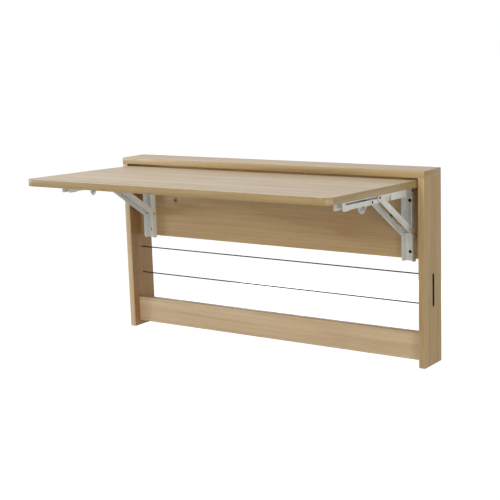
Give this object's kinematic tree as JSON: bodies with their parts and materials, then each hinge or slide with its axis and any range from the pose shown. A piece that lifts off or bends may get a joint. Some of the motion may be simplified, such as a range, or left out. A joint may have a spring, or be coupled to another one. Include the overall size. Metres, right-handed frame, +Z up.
{
  "type": "wall mounted folding desk",
  "caption": "Shallow wall frame with a tabletop that folds down on two hinged steel brackets with struts and release levers.",
  "frame": {"origin": "on the wall plane, half way across the desk, at the height of the wall fixing screws", "axes": "+X to the desk's right as seen by who sits at it, +Y into the wall, +Z up"},
  "size_m": [1, 0.5289, 0.518],
  "materials": {
    "oak_melamine": "satin oak-print melamine on particle board",
    "oak_edge_band": "satin oak-print edge band",
    "raw_board": "unfaced particle board",
    "beech": "raw fluted beech",
    "white_powder_coat": "satin powder coat",
    "zinc_steel": "zinc plated",
    "spring_steel": "drawn spring wire",
    "black_steel": "blackened",
    "black_wire": "satin black coating",
    "sleeve_plastic": "moulded, matt"
  },
  "bodies": {
    "frame": {"back_panel": "oak_melamine", "back_panel_edge_band": "oak_edge_band", "bottom_rail": "oak_melamine", "bottom_rail_edge_bands": "oak_edge_band", "cam_bolts": "zinc_steel", "cam_locks": "zinc_steel", "cleat_screws": "zinc_steel", "frame_dowels": "beech", "left_bracket_leg": "white_powder_coat", "left_leg_screws": "black_steel", "left_pivot_pin": "zinc_steel", "left_side_edge_bands": "oak_edge_band", "left_side_panel": "oak_melamine", "left_strut_foot_pin": "zinc_steel", "rack_wire": "black_wire", "right_bracket_leg": "white_powder_coat", "right_leg_screws": "black_steel", "right_pivot_pin": "zinc_steel", "right_side_edge_bands": "oak_edge_band", "right_side_panel": "oak_melamine", "right_strut_foot_pin": "zinc_steel", "top_panel": "oak_melamine", "top_panel_edge_bands": "oak_edge_band", "wall_cleat": "raw_board", "wall_fixing_sleeves": "sleeve_plastic"},
    "table": {"left_arm_screws": "zinc_steel", "left_bracket_arm": "white_powder_coat", "left_lever_pin": "black_steel", "left_lever_spring": "spring_steel", "right_arm_screws": "zinc_steel", "right_bracket_arm": "white_powder_coat", "right_lever_pin": "black_steel", "right_lever_spring": "spring_steel", "tabletop": "oak_melamine", "tabletop_edge_band": "oak_edge_band"},
    "left_strut": {"left_knee_rivets": "black_steel", "left_strut_inner_plate": "white_powder_coat", "left_strut_outer_plate": "white_powder_coat"},
    "right_strut": {"right_knee_rivets": "black_steel", "right_strut_inner_plate": "white_powder_coat", "right_strut_outer_plate": "white_powder_coat"},
    "left_lever": {"left_release_lever": "white_powder_coat"},
    "right_lever": {"right_release_lever": "white_powder_coat"}
  },
  "joints": [
    {"name": "table_fold", "type": "hinge", "parent": "frame", "child": "table", "pos_m": [0, -0.065, 0.0727], "axis": [1, 0, 0], "range_deg": [0, 91.7]},
    {"name": "left_strut_turn", "type": "hinge", "parent": "frame", "child": "left_strut", "pos_m": [-0.4357, -0.0595, -0.04274], "axis": [1, 0, 0], "range_deg": [0, 121.8]},
    {"name": "right_strut_turn", "type": "hinge", "parent": "frame", "child": "right_strut", "pos_m": [0.4357, -0.0595, -0.04274], "axis": [1, 0, 0], "range_deg": [0, 121.8]},
    {"name": "left_lever_press", "type": "hinge", "parent": "table", "child": "left_lever", "pos_m": [-0.4357, -0.27317, 0.07017], "axis": [1, 0, 0], "range_deg": [-12, 0], "stiffness_Nm_per_rad": 1},
    {"name": "right_lever_press", "type": "hinge", "parent": "table", "child": "right_lever", "pos_m": [0.4357, -0.27317, 0.07017], "axis": [1, 0, 0], "range_deg": [-12, 0], "stiffness_Nm_per_rad": 1}
  ],
  "couplings": [
    {"joint": "left_strut_turn", "follows": "table_fold", "ratio": 1.3281},
    {"joint": "right_strut_turn", "follows": "table_fold", "ratio": 1.3281}
  ]
}
